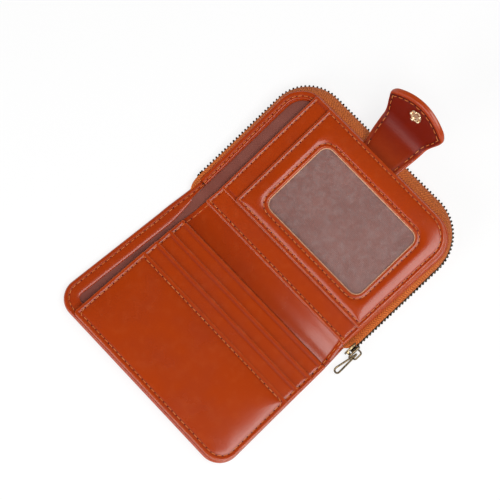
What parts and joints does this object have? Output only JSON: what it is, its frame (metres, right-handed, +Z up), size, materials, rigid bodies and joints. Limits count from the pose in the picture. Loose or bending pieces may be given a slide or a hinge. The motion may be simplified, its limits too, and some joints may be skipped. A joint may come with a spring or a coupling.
{
  "type": "zip wallet",
  "caption": "Compact bifold leather wallet opened flat, with card slots, a clear ID window, a zip-around coin pouch and a flared tab strap that snaps shut.",
  "frame": {"origin": "bottom centre of the bounding box of the opened wallet, on the surface that it lies on", "axes": "+X across the opened wallet towards the tab strap, +Y along the fold towards the mouth of the bill compartment, +Z up out of the card slots"},
  "size_m": [0.1908, 0.1238, 0.0469],
  "materials": {
    "tan_leather": "glossy smooth tan-orange leather with stitched, turned edges",
    "maroon_lining": "satin maroon-brown woven lining",
    "grey_board": "matt grey fibre stiffener",
    "clear_film": "clear glossy film",
    "zip_tape": "matt orange-brown herringbone tape",
    "antique_brass": "dark antique brass",
    "pale_gold": "polished pale gold plating"
  },
  "bodies": {
    "pouch_block": {"spine_leather": "tan_leather", "spine_inner_panel": "tan_leather", "middle_wall": "tan_leather", "bill_lining_right": "maroon_lining", "pouch_lining_top": "maroon_lining", "pocket_base_right": "tan_leather", "card_slot_right_2": "tan_leather", "card_slot_right_1": "tan_leather", "id_pocket_lining": "maroon_lining", "id_window_film": "clear_film", "id_window_panel": "tan_leather", "strap_root": "tan_leather", "zip_tape_upper": "zip_tape", "zip_teeth_upper": "antique_brass", "zip_end_stop": "antique_brass"},
    "left_half": {"cover_leather_left": "tan_leather", "cover_board_left": "grey_board", "bill_lining_left": "maroon_lining", "pocket_base_left": "tan_leather", "card_slot_left_4": "tan_leather", "card_slot_left_3": "tan_leather", "card_slot_left_2": "tan_leather", "plain_panel_left": "tan_leather", "snap_stud": "pale_gold", "stud_rivet": "pale_gold"},
    "zip_cover": {"cover_leather_right": "tan_leather", "cover_board_right": "grey_board", "pouch_lining_bottom": "maroon_lining", "zip_tape_lower": "zip_tape", "zip_teeth_lower": "antique_brass"},
    "slider": {"slider_body": "antique_brass", "slider_bail": "antique_brass"},
    "puller": {"zip_puller": "antique_brass"},
    "strap_base": {"strap_base_leather": "tan_leather", "strap_base_lining": "tan_leather"},
    "strap_tip": {"strap_tip_leather": "tan_leather", "strap_tip_lining": "tan_leather", "snap_socket": "pale_gold", "snap_cap": "pale_gold"}
  },
  "joints": [
    {"name": "fold", "type": "hinge", "parent": "pouch_block", "child": "left_half", "pos_m": [-0.01514, 0, 0.01008], "axis": [0, 1, 0], "range_deg": [0, 168.6], "deforming": ["spine_leather", "spine_inner_panel"]},
    {"name": "pouch_opening", "type": "hinge", "parent": "pouch_block", "child": "zip_cover", "pos_m": [-0.00214, 0, 0], "axis": [0, -1, 0], "range_deg": [-60, 0]},
    {"name": "slider_travel", "type": "slide", "parent": "pouch_block", "child": "slider", "axis": [0.9965, 0.0052, 0.0834], "range_m": [0, 0.05], "deforming": ["zip_tape_upper", "zip_teeth_upper", "zip_tape_lower", "zip_teeth_lower"]},
    {"name": "puller_swing", "type": "hinge", "parent": "slider", "child": "puller", "pos_m": [-0.00671, -0.05998, 0.00297], "axis": [0, 0, 1], "range_deg": [0, 170]},
    {"name": "strap_root_bend", "type": "hinge", "parent": "pouch_block", "child": "strap_base", "pos_m": [0.06756, 0.00109, 0.02084], "axis": [0, -1, 0], "range_deg": [-20, 85]},
    {"name": "strap_middle_bend", "type": "hinge", "parent": "strap_base", "child": "strap_tip", "pos_m": [0.08266, 0.00109, 0.02475], "axis": [0, -1, 0], "range_deg": [-49.5, 40.5]}
  ]
}
